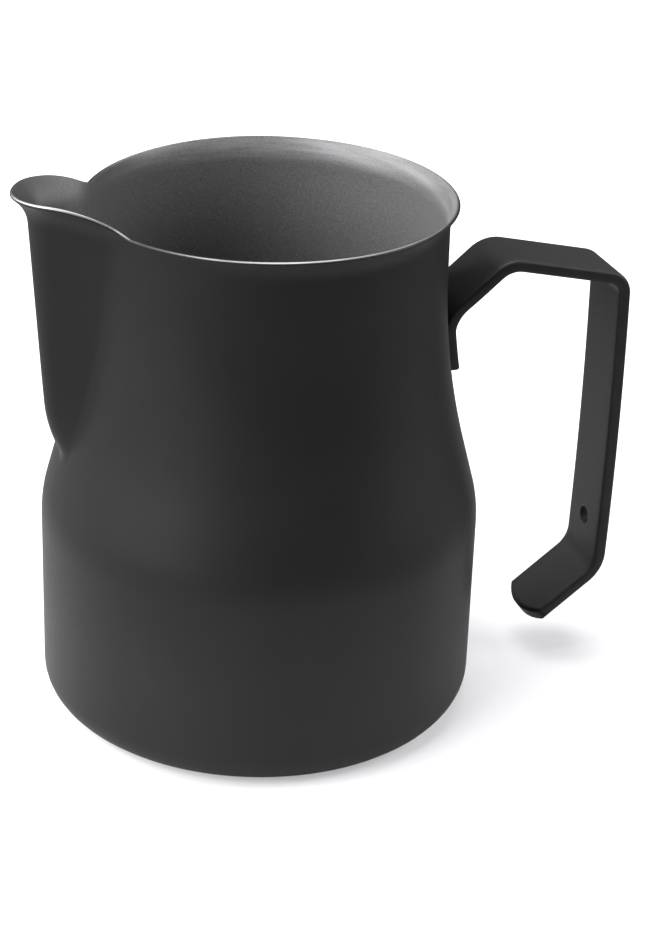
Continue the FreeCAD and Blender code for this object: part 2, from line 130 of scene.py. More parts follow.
def spout_radius(height, turn):
    """Distance from the axis to the spout's rounded wedge, this far round from the ridge."""
    toe = TOE_HEIGHT - TOE_BEND / 2
    share = min(max((height - toe) / (RIM - toe), 0.0), 1.0)
    nose = NOSE_LOW + (NOSE_HIGH - NOSE_LOW) * share ** 3
    flank = math.radians(FLANK_LOW + (FLANK_HIGH - FLANK_LOW) * share)
    centre = ridge_reach(height) - nose
    if turn + flank >= math.pi / 2:
        return 0.0
    if turn <= math.atan2(nose * math.cos(flank), centre + nose * math.sin(flank)):
        return centre * math.cos(turn) + math.sqrt(nose ** 2 - (centre * math.sin(turn)) ** 2)
    return (centre * math.sin(flank) + nose) / math.sin(turn + flank)


def plan_point(height, turn):
    """Point of the pressed wall in plan, before the lip is flared; turn 0 is the ridge."""
    round_part = wall_radius(height)
    wedge = spout_radius(height, abs(turn))
    overlap = max(CREASE_BLEND - abs(round_part - wedge), 0.0)
    reach = max(round_part, wedge) + overlap ** 2 / (4 * CREASE_BLEND)
    return Vector((-reach * math.cos(turn), -reach * math.sin(turn), 0))


CORNER_LENGTH = BASE_CORNER * math.pi / 2


def outside_point(station, turn):
    """Point of the outer skin; station is the way up the outline from the edge of the underside."""
    if station < CORNER_LENGTH:
        swing = max(station, 0.0) / BASE_CORNER
        reach = BELLY - BASE_CORNER + BASE_CORNER * math.sin(swing) + min(station, 0.0)
        height = BASE_CORNER * (1 - math.cos(swing))
        return Vector((-reach * math.cos(turn), -reach * math.sin(turn), height))
    height = station - CORNER_LENGTH + BASE_CORNER
    here = plan_point(height, turn)
    along = plan_point(height, turn + PLAN_STEP) - plan_point(height, turn - PLAN_STEP)
    outward = Vector((along.y, -along.x, 0)).normalized()
    crease = THROAT * math.cos(math.radians(CREASE_ANGLE))
    past_crease = max(-here.x - crease, 0.0) if abs(turn) < math.pi / 2 else 0.0
    tip_share = 1 - (1 - min(past_crease / (RIDGE_REACH - crease), 1.0)) ** 2
    crest_share = 1 - (1 - past_crease / (CREST_REACH - crease)) ** 2
    round_from_ridge = math.degrees(math.acos(min(max(math.cos(turn), -1.0), 1.0)))
    drawn = 1 - ease((round_from_ridge - CREASE_ANGLE) / (DRAW_ANGLE - CREASE_ANGLE))
    depth = LIP_DEPTH + (TIP_DEPTH - LIP_DEPTH) * tip_share
    flare = max(1 - (RIM - height) / depth, 0.0) ** 2
    overhang = (LIP_OVERHANG - DRAW_IN * drawn + TIP_OVERHANG * tip_share) * flare
    pressed = ease(1 - (RIM - height) / (RIM - TOE_HEIGHT))
    rise = SPOUT_RISE * crest_share * pressed - DRAW_DOWN * drawn * flare
    return here + outward * overhang + Vector((0, 0, height + rise))


def skin_pair(station, turn):
    """Points on the two faces of the sheet, and the way up the sheet between them."""
    up = outside_point(station + SKIN_STEP, turn) - outside_point(station - SKIN_STEP, turn)
    round_way = outside_point(station, turn + SKIN_STEP) - outside_point(station, turn - SKIN_STEP)
    outward = round_way.cross(up).normalized()
    outer = outside_point(station, turn)
    return outer, outer - outward * SHEET, up.normalized()


# ---------------------------------------------------------------- the jug's mesh
# Rings of points climb the outer skin, go over the rounded cut edge of the sheet and run down the
# inner skin, so that the jug is one closed sheet with a real thickness all the way round.

FRONT_STEPS = 120      # columns across the spout
FRONT_MARGIN = 9.0     # how far past the spout's creases these columns go, degrees
BACK_STEPS = 84        # columns round the rest of the jug
CORNER_ROWS, WALL_ROWS, NECK_ROWS, LIP_ROWS = 10, 8, 52, 12
WALL_STATION = 40.0    # way up the outline where the wall's few rows end and the neck's begin
EDGE_ROUND = 0.32      # how far the cut edge is rounded over
EDGE_ROWS = 9
EDGE_POWER = 0.75      # under 1, so the rounded edge is a little squarer than a half circle
DISC_SHARES = (0.15, 0.4, 0.65, 0.85)    # rings of the underside and of the floor inside


def spaced(start, end, count):
    """Evenly spaced values, the last one left out."""
    return [start + (end - start) * i / count for i in range(count)]


spout_half = math.radians(CREASE_ANGLE + FRONT_MARGIN)
turns = (spaced(-spout_half, spout_half, FRONT_STEPS)
         + spaced(spout_half, 2 * math.pi - spout_half, BACK_STEPS))
rim_station = CORNER_LENGTH + RIM - BASE_CORNER
lip_station = rim_station - TIP_DEPTH
top_station = rim_station - EDGE_ROUND
stations = (spaced(0, CORNER_LENGTH, CORNER_ROWS)
            + spaced(CORNER_LENGTH, WALL_STATION, WALL_ROWS)
            + spaced(WALL_STATION, lip_station, NECK_ROWS)
            + spaced(lip_station, top_station, LIP_ROWS) + [top_station])


def jug_rings():
    """Rings from the middle of the underside, over the rim, to the middle of the floor inside.

    Each ring is its points and its place across the sheet: 0 on the outer face, 1 on the inner.
    """
    outer_rings, inner_rings, edge_rings = [], [], []
    for station in stations:
        pairs = [skin_pair(station, turn) for turn in turns]
        outer_rings.append(([pair[0] for pair in pairs], 0.0))
        inner_rings.append(([pair[1] for pair in pairs], 1.0))
    # the last pairs, at the top of both skins, carry the rounded edge
    for row in range(1, EDGE_ROWS):
        swing = math.pi * row / EDGE_ROWS
        across = math.copysign(abs(math.cos(swing)) ** EDGE_POWER, math.cos(swing)) / 2
        rise = EDGE_ROUND * math.sin(swing) ** EDGE_POWER
        ring = [(outer + inner) / 2 + (outer - inner) * across + up * rise for outer, inner, up in pairs]
        edge_rings.append((ring, 0.5 - across))
    under = [([Vector((p.x * s, p.y * s, 0)) for p in outer_rings[0][0]], 0.0) for s in DISC_SHARES]
    floor = [([Vector((p.x * s, p.y * s, SHEET)) for p in inner_rings[0][0]], 1.0) for s in DISC_SHARES]
    return under + outer_rings + edge_rings + inner_rings[::-1] + floor[::-1]


def tube_mesh(name, rings, attribute):
    """A closed mesh through the rings, whose two ends are closed round a middle point."""
    count = len(rings[0][0])
    points = [point * MM for ring, share in rings for point in ring]
    shares = [share for ring, share in rings for point in ring]
    faces = []
    for low in range(len(rings) - 1):
        for here in range(count):
            there = (here + 1) % count
            faces.append((low * count + here, low * count + there,
                          (low + 1) * count + there, (low + 1) * count + here))
    for ring, flip in ((0, True), (len(rings) - 1, False)):
        middle = sum(rings[ring][0], Vector()) / count
        points.append(Vector((0, 0, middle.z)) * MM)
        shares.append(rings[ring][1])
        for here in range(count):
            there = (here + 1) % count
            corner = (ring * count + here, ring * count + there, len(points) - 1)
            faces.append(corner[::-1] if flip else corner)
    mesh = bpy.data.meshes.new(name)
    mesh.from_pydata(points, [], faces)
    mesh.attributes.new(attribute, "FLOAT", "POINT").data.foreach_set("value", shares)
    mesh.shade_smooth()
    return mesh


def new_piece(name, mesh, slot_name, *nodes):
    """An object of the pitcher that stands for these CAD nodes and rides on its one body."""
    piece = bpy.data.objects.new(name, mesh)
    bpy.context.scene.collection.objects.link(piece)
    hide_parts(*nodes)
    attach(piece, "root")
    return piece


jug = new_piece("jug", tube_mesh("jug", jug_rings(), "across_sheet"), "body_coat", "pitcher_body")


# ---------------------------------------------------------------- finishes of the jug
# Outside there is a fine satin powder coat, nearly black. Inside there is a harder grey coat with a
# metallic fleck. Both stop short of the cut edge, where the bare steel shows as a thin bright line.

NOISE_SPAN = (0.3, 0.7)              # nearly all values of a noise lie between these
OUTSIDE_TONES = (0.007, 0.011)       # the powder coat, from cloud to cloud
OUTSIDE_ROUGH = (0.44, 0.54)
INSIDE_TONES = (0.08, 0.19)          # the fleck coat, from grain to grain
INSIDE_SPAN = (0.25, 0.75)
INSIDE_ROUGH = (0.38, 0.52)
INSIDE_METAL = 0.25
INNER_FACE = (0.90, 0.96)            # share of the sheet's thickness where the fleck coat begins
TIP_SHADE_TONE = 0.05                      # painted shade of the fleck coat, in the tip of the spout
TIP_SHADE_PLACE = (-53.0, -41.0)           # where that painted shade ends, on the way to the handle
RUB_AND_SHEEN_TONE = 0.24                   # the fleck coat where it is rubbed, with a painted highlight
RUB_AND_SHEEN_HEIGHT = (114.0, 116.5)       # where the rubbing and the painted highlight start, and where they are full
RUB_AND_SHEEN_PLACE = (-36.0, -10.0)        # they grow on the way from the spout to the handle, where the light falls inside
RUB_AND_SHEEN_AT_SPOUT = 0.15               # how much is left of them in the spout
STREAK_SCALE = 55.0
STREAK_SHAPE = (1, 1, 12)            # they are twelve times as long as they are high
STREAK_SPAN = (0.40, 0.66)
STREAK_DEPTH = 0.55
BARE_TONES = (0.12, 0.34)            # the steel of the cut edge
BARE_SPAN = (0.35, 0.65)
BARE_ROUGH = 0.42
BARE_START = (0.14, 0.24)            # share of the sheet's thickness where the bare band starts
BARE_END = (0.93, 0.97)              # and where it ends
BARE_WANDER = 0.5                    # how far its border wanders, in shares of the thickness
CREASE_PLACE = -22.0                 # beside the spout's creases, where the band is widest
BARE_NARROWING = 9.0                 # how fast it narrows from there, shares of thickness a metre
COAT_SPECULAR = 0.3
COAT_RELIEF = 0.006


def add_node(tree, kind, inputs=None, **settings):
    """A node of this kind, with its settings and its inputs' values or links."""
    node = tree.nodes.new(kind)
    for key, value in settings.items():
        setattr(node, key, value)
    for key, value in (inputs or {}).items():
        if isinstance(value, bpy.types.NodeSocket):
            tree.links.new(value, node.inputs[key])
        else:
            node.inputs[key].default_value = value
    return node


def new_group(name, inputs, outputs):
    """An empty node group with float inputs and defaults, and float outputs."""
    group = bpy.data.node_groups.new(name, "ShaderNodeTree")
    for key, value in inputs.items():
        socket = group.interface.new_socket(key, in_out="INPUT", socket_type="NodeSocketFloat")
        socket.default_value = value
    for key in outputs:
        group.interface.new_socket(key, in_out="OUTPUT", socket_type="NodeSocketFloat")
    given = group.nodes.new("NodeGroupInput").outputs
    made = group.nodes.new("NodeGroupOutput").inputs
    return group, given, made


def noise_at(tree, place, scale, detail, roughness=0.5):
    """Noise from 0 to 1 over the piece's own coordinates; scale is in grains per metre."""
    return add_node(tree, "ShaderNodeTexNoise", {"Vector": place, "Scale": scale, "Detail": detail,
                                                  "Roughness": roughness}).outputs["Fac"]


# Sprayed and baked powder: tiny grains, a wider orange-peel wave and faint clouds from the spraying
powder_grain, given, made = new_group(
    "powder_grain", {"Grains": 2600.0, "Waves": 420.0, "Clouds": 30.0},
    ("Grain", "Cloud", "Height"))
WAVE_SHARE = 0.6       # height of the waves against that of the grains
in_piece = add_node(powder_grain, "ShaderNodeTexCoord").outputs["Object"]
grain = noise_at(powder_grain, in_piece, given["Grains"], 2.0, 0.6)
wave = noise_at(powder_grain, in_piece, given["Waves"], 2.0)
cloud = noise_at(powder_grain, in_piece, given["Clouds"], 4.0)
powder_grain.links.new(grain, made["Grain"])
powder_grain.links.new(cloud, made["Cloud"])
relief = add_node(powder_grain, "ShaderNodeMath", {0: wave, 1: WAVE_SHARE, 2: grain},
                  operation="MULTIPLY_ADD")
powder_grain.links.new(relief.outputs[0], made["Height"])


# Rubbed edges: the coat thins and shines along an edge, more in some places than in others
PATCH_CONTRAST, PATCH_SHIFT = 1.6, -0.35
edge_wear, given, made = new_group(
    "edge_wear", {"Edge": 0.0, "Patches": 160.0, "Amount": 0.5},
    ("Wear",))
in_piece = add_node(edge_wear, "ShaderNodeTexCoord").outputs["Object"]
patches = noise_at(edge_wear, in_piece, given["Patches"], 4.0, 0.65)
reach = add_node(edge_wear, "ShaderNodeMath", {0: patches, 1: PATCH_CONTRAST, 2: PATCH_SHIFT},
                 operation="MULTIPLY_ADD")
worn = add_node(edge_wear, "ShaderNodeMath", {0: given["Edge"], 1: reach.outputs[0]},
                operation="MULTIPLY")
kept = add_node(edge_wear, "ShaderNodeMath", {0: worn.outputs[0], 1: given["Amount"]},
                operation="MULTIPLY", use_clamp=True)
edge_wear.links.new(kept.outputs[0], made["Wear"])


def mixed(tree, factor, first, second):
    """One colour or another by a factor."""
    node = add_node(tree, "ShaderNodeMix", data_type="RGBA")
    for key, value in ((0, factor), (6, first), (7, second)):
        if isinstance(value, bpy.types.NodeSocket):
            tree.links.new(value, node.inputs[key])
        else:
            node.inputs[key].default_value = value
    return node.outputs[2]


def between(tree, value, low, high, start=0.0, end=1.0):
    """A value that goes from low to high while its source goes from start to end."""
    return add_node(tree, "ShaderNodeMapRange", {"Value": value, "From Min": start, "From Max": end,
                                                  "To Min": low, "To Max": high}).outputs["Result"]


def grey(level):
    """A neutral colour."""
    return (level, level, level * 1.02, 1.0)


def new_material(name):
    """A material with one Principled shader, and its node tree."""
    material = bpy.data.materials.new(name)
    material.use_nodes = True
    tree = material.node_tree
    return material, tree, tree.nodes["Principled BSDF"]


def grouped(tree, group, **values):
    """A node group placed in a material with its own values."""
    node = add_node(tree, "ShaderNodeGroup", node_tree=group)
    for key, value in values.items():
        if isinstance(value, bpy.types.NodeSocket):
            tree.links.new(value, node.inputs[key])
        else:
            node.inputs[key].default_value = value
    return node.outputs


def bumped(tree, shader, height, depth):
    """Relief from a height, this many millimetres deep."""
    bump = add_node(tree, "ShaderNodeBump", {"Height": height, "Distance": depth * MM, "Strength": 1.0})
    tree.links.new(bump.outputs["Normal"], shader.inputs["Normal"])


coated_steel, tree, shader = new_material("coated_steel")
coat = grouped(tree, powder_grain, Grains=2600.0, Waves=420.0, Clouds=30.0)
fleck = grouped(tree, powder_grain, Grains=3400.0, Waves=700.0, Clouds=42.0)
across = add_node(tree, "ShaderNodeAttribute", attribute_name="across_sheet").outputs["Fac"]
outside = mixed(tree, between(tree, coat["Cloud"], 0, 1, *NOISE_SPAN), *map(grey, OUTSIDE_TONES))
inside = mixed(tree, between(tree, fleck["Grain"], 0, 1, *INSIDE_SPAN), *map(grey, INSIDE_TONES))
in_piece = add_node(tree, "ShaderNodeTexCoord").outputs["Object"]
split = add_node(tree, "ShaderNodeSeparateXYZ", {0: in_piece}).outputs
to_handle, up = split["X"], split["Z"]


def along_piece(tree, coordinate, low, high, places):
    """A value that goes from low to high between two places, given in millimetres."""
    return between(tree, coordinate, low, high, *(place * MM for place in places))


# the flare of the lip is lighter inside, in streaks that run round it: rubbing, and a painted highlight
# where the light falls
stretched = add_node(tree, "ShaderNodeMapping", {"Vector": in_piece, "Scale": STREAK_SHAPE}).outputs[0]
streaks = between(tree, noise_at(tree, stretched, STREAK_SCALE, 5.0, 0.6), 0, STREAK_DEPTH, *STREAK_SPAN)
in_lip = along_piece(tree, up, 0, 1, RUB_AND_SHEEN_HEIGHT)
off_spout = along_piece(tree, to_handle, RUB_AND_SHEEN_AT_SPOUT, 1, RUB_AND_SHEEN_PLACE)
where = add_node(tree, "ShaderNodeMath", {0: in_lip, 1: off_spout}, operation="MULTIPLY").outputs[0]
rub_and_sheen = add_node(tree, "ShaderNodeMath", {0: streaks, 1: where}, operation="MULTIPLY").outputs[0]
inside = mixed(tree, rub_and_sheen, inside, grey(RUB_AND_SHEEN_TONE))
# painted shade: the coat is darkened towards the tip of the spout, where the narrow channel lies in
# shade
inside = mixed(tree, along_piece(tree, to_handle, 0, 1, TIP_SHADE_PLACE), grey(TIP_SHADE_TONE), inside)
inner_face = between(tree, across, 0, 1, *INNER_FACE)
skin = mixed(tree, inner_face, outside, inside)

# the bare band lies towards the inside of the cut edge, and its border wanders a little
wander = add_node(tree, "ShaderNodeMath", {0: coat["Cloud"], 1: BARE_WANDER, 2: -BARE_WANDER / 2},
                  operation="MULTIPLY_ADD")
border = add_node(tree, "ShaderNodeMath", {0: across, 1: wander.outputs[0]}, operation="ADD")
from_crease = add_node(tree, "ShaderNodeMath", {0: to_handle, 1: -CREASE_PLACE * MM},
                       operation="ADD").outputs[0]
away = add_node(tree, "ShaderNodeMath", {0: from_crease}, operation="ABSOLUTE").outputs[0]
shifted = add_node(tree, "ShaderNodeMath", {0: away, 1: -BARE_NARROWING, 2: border.outputs[0]},
                   operation="MULTIPLY_ADD")
starting = between(tree, shifted.outputs[0], 0, 1, *BARE_START)
ending = between(tree, across, 1, 0, *BARE_END)
bare = add_node(tree, "ShaderNodeMath", {0: starting, 1: ending}, operation="MULTIPLY").outputs[0]
steel = mixed(tree, between(tree, fleck["Cloud"], 0, 1, *BARE_SPAN), *map(grey, BARE_TONES))
tree.links.new(mixed(tree, bare, skin, steel), shader.inputs["Base Color"])
metal = add_node(tree, "ShaderNodeMath", {0: inner_face, 1: INSIDE_METAL, 2: bare},
                 operation="MULTIPLY_ADD", use_clamp=True)
tree.links.new(metal.outputs[0], shader.inputs["Metallic"])
coat_rough = between(tree, coat["Grain"], *OUTSIDE_ROUGH, *NOISE_SPAN)
fleck_rough = between(tree, fleck["Grain"], *INSIDE_ROUGH, *NOISE_SPAN)
skin_rough = add_node(tree, "ShaderNodeMix", {0: inner_face, 2: coat_rough, 3: fleck_rough}).outputs[0]
rough = add_node(tree, "ShaderNodeMix", {0: bare, 2: skin_rough, 3: BARE_ROUGH}).outputs[0]
tree.links.new(rough, shader.inputs["Roughness"])
shader.inputs["Specular IOR Level"].default_value = COAT_SPECULAR
bumped(tree, shader, coat["Height"], COAT_RELIEF)
jug.data.materials.append(coated_steel)


# ---------------------------------------------------------------- the handle strap
# The handle is one flat strip of steel with four bends and a grip that bows a little. Its upper end
# is pressed round the neck as a tab and spot-welded; its lower end hangs free, turns back towards the
# jug and is cut round. A hole near the foot of the grip is there to hang the pitcher by.

STRAP_WIDTH = 17.0
STRAP_GAUGE = 2.9
STRAP_ROUND = 0.9      # rounding of the strap's long edges
TAB_GAUGE = 2.4        # the tab is pressed a little thinner
TAB_GAP = 0.02         # between the tab and the neck
TAB_ROUND = 0.15       # rounding of the tab's edges on the neck's side
TAB_FOOT, TAB_TOP = 77.6, 86.9       # heights of the tab's two ends
TAB_FADE = 9.0         # how far above the tab the strap is still curved
GRIP_BOW = 1200.0      # radius of the grip's gentle bow
GRIP_CHORD = 67.2
FOOT_ANGLE = 37.6      # how far the foot slopes, degrees
FOOT_RUN = 17.1
FOOT_END = 13.5        # radius of the cut end
FOOT_TAPER = 11.0      # length of the foot over which its rows turn into the shape of the cut
END_ROUND = 0.5        # rounding of the cut ends
HOLE_HEIGHT = 31.8
HOLE = 4.2
HOLE_ROUND = 0.2
HOLE_PATCH = 3.4       # half side of the square of mesh that the hole sits in
HOLE_CELLS = 6         # cells along each side of that square
HOLE_MARGIN = 0.8      # from the square to the nearest other row
HOLE_SHARES = (0.35, 0.7)            # rings between the square and the hole's edge
ROW_STEP, FOOT_STEP = 2.0, 1.5       # longest way from row to row
ROW_TURN = 4                         # largest turn from row to row, degrees
TAB_ROWS, END_ROWS = 8, 4
CORNER_POINTS = 5      # points round each long edge
OUTER_COLUMNS = 3      # columns between each long edge and the hole's square
NECK_RANGE = 30.0      # the strap is curled round the neck only this close to it
TOUCH_RANGE = 1.0      # the strap is held off the neck only this close to it
TINY = 0.01            # slack in comparisons

bow_half = math.degrees(math.asin(GRIP_CHORD / 2 / GRIP_BOW))
BENDS = (
    # straight length before the bend, centre-line radius, degrees
    (0.0, 8.4, 49.0),
    (9.85, 7.0, 53.0),
    (22.2, 4.6, 78.0 - bow_half),
    (0.0, GRIP_BOW, 2 * bow_half),
    (0.0, 8.0, 90 - FOOT_ANGLE - bow_half),
)


def ahead(heading):
    """The way that the strap runs, at this heading."""
    return Vector((math.cos(heading), math.sin(heading)))


def to_left(heading):
    """From the centre line of the strap to its left face."""
    return Vector((-math.sin(heading), math.cos(heading))) * (STRAP_GAUGE / 2)


def strap_line():
    """The strap's centre line from the tab to the foot: closely spaced points and their headings."""
    here = Vector((wall_radius(TAB_TOP) + TAB_GAUGE - STRAP_GAUGE / 2, TAB_TOP))
    heading = math.radians(90)
    line = [(here, heading)]
    for run, radius, degrees in BENDS:
        way = ahead(heading)
        steps = math.ceil(run / ROW_STEP)
        line += [(here + way * run * (i + 1) / steps, heading) for i in range(steps)]
        here = here + way * run
        centre = here + Vector((way.y, -way.x)) * radius
        steps = max(math.ceil(degrees / ROW_TURN), math.ceil(math.radians(degrees) * radius / ROW_STEP))
        for i in range(steps):
            turned = math.radians(degrees) * (i + 1) / steps
            swing = heading - turned
            spot = centre + Vector((-math.sin(swing), math.cos(swing))) * radius
            line.append((spot, swing))
        here, heading = line[-1]
    way = ahead(heading)
    steps = math.ceil(FOOT_RUN / FOOT_STEP)
    line += [(here + way * FOOT_RUN * (i + 1) / steps, heading) for i in range(steps)]
    return line


def hole_rows(line):
    """The rows of the line above, at and below the hole, where whole cells surround the hole."""
    wanted = [HOLE_HEIGHT + HOLE_PATCH * (1 - 2 * i / HOLE_CELLS) for i in range(HOLE_CELLS + 1)]
    grip = [row for row in line if abs(math.degrees(row[1]) + 90) <= bow_half + TINY]
    centre_x = grip[0][0].x - GRIP_BOW * math.cos(math.radians(bow_half))
    centre_z = (grip[0][0].y + grip[-1][0].y) / 2
    rows = []
    for height in wanted:
        swing = math.asin((height - centre_z) / GRIP_BOW)
        spot = Vector((centre_x + GRIP_BOW * math.cos(swing), height))
        rows.append((spot, swing - math.pi / 2))
    near = HOLE_PATCH + HOLE_MARGIN
    before = [row for row in line if row not in grip and row[1] > -math.pi / 2] + [
        row for row in grip if row[0].y > HOLE_HEIGHT + near]
    after = [row for row in grip if row[0].y < HOLE_HEIGHT - near] + [
        row for row in line if row not in grip and row[1] < -math.pi / 2]
    return before, rows, after


def strap_rows():
    """Rows of the strap: its left and right points, curl round the neck, and rounding of the end.

    They come with the number of the hole's first row and with the tip and heading of the foot.
    """
    quarters = [math.pi / 2 * i / END_ROWS for i in range(END_ROWS + 1)]
    foot = [(TAB_FOOT + END_ROUND * (1 - math.sin(swing)), END_ROUND * (1 - math.cos(swing)))
            for swing in quarters[::-1]]
    straight = TAB_TOP - TAB_FOOT - END_ROUND
    levels = [TAB_FOOT + END_ROUND + straight * i / TAB_ROWS for i in range(1, TAB_ROWS + 1)]
    tab = [(Vector((wall_radius(z) + TAB_GAP, z)), Vector((wall_radius(z) + TAB_GAUGE, z)), 1.0, inset)
           for z, inset in foot + [(level, 0.0) for level in levels]]
    before, hole, after = hole_rows(strap_line())
    strap = []
    for spot, heading in before[1:] + hole + after:
        curl = 0.0
        if spot.x < wall_radius(TAB_TOP) + NECK_RANGE and heading > 0:
            curl = 1 - ease((spot.y - TAB_TOP) / TAB_FADE)
        strap.append((spot + to_left(heading), spot - to_left(heading), curl, 0.0))
    first_hole = len(tab) + len(before) - 1
    tip, heading = after[-1]
    for swing in quarters[1:]:
        spot = tip + ahead(heading) * (END_ROUND * (math.sin(swing) - 1))
        strap.append((spot + to_left(heading), spot - to_left(heading), 0.0,
                      END_ROUND * (1 - math.cos(swing))))
    return tab + strap, first_hole, tip, heading


def section_loop(rounding_left, rounding_right, inset):
    """The strap's section: for each face, points as (across, depth from that face, edge share).

    The counts of points are the same in every row.
    """
    half = STRAP_WIDTH / 2 - inset
    patch = [HOLE_PATCH * (2 * i / HOLE_CELLS - 1) for i in range(HOLE_CELLS + 1)]
    loop = []
    for side, rounding in ((0.0, rounding_left), (1.0, rounding_right)):
        flat = half - rounding
        outer = [(flat * (OUTER_COLUMNS - i) + HOLE_PATCH * i) / OUTER_COLUMNS
                 for i in range(OUTER_COLUMNS)]
        face = [-x for x in outer] + patch + outer[::-1]
        points = [(x, 0.0, 0.0) for x in face]
        for i in range(1, CORNER_POINTS + 1):
            swing = math.pi / 2 * i / CORNER_POINTS
            points.append((flat + rounding * math.sin(swing), rounding * (1 - math.cos(swing)), 1.0))
        corner_in = [(-x, depth, edge) for x, depth, edge in points[len(face):][::-1]]
        loop.append((side, corner_in + points))
    return loop


# The strap is woven row by row: each row is a closed loop round the section, and the cells under
# the hole are left out and filled with rings that run through the strap.

def strap_mesh(name):
    """The strap's mesh, with its rounded ends and its hole."""
    rows, first_hole, tip, tip_heading = strap_rows()
    way = ahead(tip_heading)
    foot_start = tip - way * FOOT_TAPER
    points, edges = [], []

    def strap_point(row, across, depth):
        """Point of the strap in a row, this far across it and this deep under its left face."""
        left, right, curl, inset = row
        gauge = (right - left).length
        spot = left.lerp(right, min(max(depth / gauge, 0.0), 1.0))
        along = (spot - foot_start).dot(way)
        if along > 0 and spot.y < HOLE_HEIGHT:
            cut = FOOT_END - math.sqrt(FOOT_END ** 2 - across ** 2)
            spot = spot - way * cut * ease(along / FOOT_TAPER)
        x = spot.x - curl * (spot.x - math.sqrt(spot.x ** 2 - across ** 2))
        if spot.y > TAB_FOOT - TOUCH_RANGE and x < wall_radius(spot.y) + TAB_GAP + TOUCH_RANGE:
            x = max(x, math.sqrt((wall_radius(spot.y) + TAB_GAP) ** 2 - across ** 2))
        return Vector((x, across, spot.y))

    for row in rows:
        left, right, curl, inset = row
        gauge = (right - left).length
        rounding_left = TAB_ROUND if gauge < STRAP_GAUGE - TINY else STRAP_ROUND
        loop = []
        for side, section in section_loop(rounding_left, STRAP_ROUND, inset):
            for across, depth, edge in section:
                depth = inset + depth * (1 - inset / gauge)
                under_left = depth if side == 0.0 else gauge - depth
                sign = 1 if side == 0.0 else -1
                loop.append((strap_point(row, sign * across, under_left),
                             max(edge, 1.0 if inset else 0.0)))
        count = len(loop)
        points += [point * MM for point, edge in loop]
        edges += [edge for point, edge in loop]

    half_count = count // 2
    first_column = CORNER_POINTS + OUTER_COLUMNS
    faces = []
    for low in range(len(rows) - 1):
        for here in range(count):
            column = here % half_count
            in_patch = first_column <= column < first_column + HOLE_CELLS
            if first_hole <= low < first_hole + HOLE_CELLS and in_patch:
                continue
            there = (here + 1) % count
            faces.append((low * count + here, (low + 1) * count + here,
                          (low + 1) * count + there, low * count + there))

    # both ends are closed by cells that run from one face of the strap to the other
    for row, flip in ((0, False), (len(rows) - 1, True)):
        for here in range(half_count - 1):
            quad = (row * count + here, row * count + here + 1,
                    row * count + count - 2 - here, row * count + count - 1 - here)
            faces.append(quad[::-1] if flip else quad)

    # the hole: rings from the square patch on the outer face, through, to the patch on the inner face
    border = ([(0, i) for i in range(HOLE_CELLS)] + [(i, HOLE_CELLS) for i in range(HOLE_CELLS)]
              + [(HOLE_CELLS, HOLE_CELLS - i) for i in range(HOLE_CELLS)]
              + [(HOLE_CELLS - i, 0) for i in range(HOLE_CELLS)])

    def outer_index(i, j):
        return (first_hole + i) * count + first_column + j

    def inner_index(i, j):
        return (first_hole + i) * count + half_count + first_column + HOLE_CELLS - j

    start = [outer_index(i, j) for i, j in border]
    finish = [inner_index(i, j) for i, j in border]
    radius = HOLE / 2
    rounding = [(HOLE_ROUND * (1 - math.sin(a)), HOLE_ROUND * (1 - math.cos(a)))
                for a in (0, math.pi / 6, math.pi / 3, math.pi / 2)]
    profile = [(share, None, 0.0) for share in HOLE_SHARES]
    profile += [(1.0, radius + wide, deep) for wide, deep in rounding]
    profile += [(1.0, radius + wide, STRAP_GAUGE - deep) for wide, deep in rounding[::-1]]
    profile += [(share, None, STRAP_GAUGE) for share in HOLE_SHARES[::-1]]
    rings = [start]
    for share, ring_radius, depth in profile:
        ring = []
        for outer, inner in zip(start, finish):
            across = points[outer].lerp(points[inner], depth / STRAP_GAUGE)
            off_y, off_z = across.y / MM, across.z / MM - HOLE_HEIGHT
            length = math.hypot(off_y, off_z)
            reach = ring_radius or (radius + HOLE_ROUND) * share + length * (1 - share)
            spot = Vector((across.x / MM, off_y / length * reach, HOLE_HEIGHT + off_z / length * reach))
            points.append(spot * MM)
            edges.append(1.0 if ring_radius else 0.0)
            ring.append(len(points) - 1)
        rings.append(ring)
    rings.append(finish)
    for low, high in zip(rings, rings[1:]):
        for here in range(len(start)):
            there = (here + 1) % len(start)
            faces.append((low[here], high[here], high[there], low[there]))

    mesh = bpy.data.meshes.new(name)
    mesh.from_pydata(points, [], faces)
    mesh.attributes.new("edge", "FLOAT", "POINT").data.foreach_set("value", edges)
    mesh.shade_smooth()
    return mesh


strap = new_piece("handle_strap", strap_mesh("handle_strap"), "handle_coat", "handle")

# the jug's powder coat, a little rougher, and thinner along the edges that hands and cloths rub
STRAP_TONES = (0.008, 0.012)
STRAP_ROUGH = (0.48, 0.60)
WORN_TONE = 0.03
WORN_ROUGH = 0.34

coated_strap, tree, shader = new_material("coated_strap")
coat = grouped(tree, powder_grain, Grains=2800.0, Waves=520.0, Clouds=45.0)
edge = add_node(tree, "ShaderNodeAttribute", attribute_name="edge").outputs["Fac"]
wear = grouped(tree, edge_wear, Edge=edge, Patches=220.0, Amount=0.35)["Wear"]
body = mixed(tree, between(tree, coat["Cloud"], 0, 1, *NOISE_SPAN), *map(grey, STRAP_TONES))
tree.links.new(mixed(tree, wear, body, grey(WORN_TONE)), shader.inputs["Base Color"])
rough = between(tree, coat["Grain"], *STRAP_ROUGH, *NOISE_SPAN)
worn_rough = add_node(tree, "ShaderNodeMix", {0: wear, 2: rough, 3: WORN_ROUGH}).outputs[0]
tree.links.new(worn_rough, shader.inputs["Roughness"])
shader.inputs["Specular IOR Level"].default_value = COAT_SPECULAR
bumped(tree, shader, coat["Height"], COAT_RELIEF)
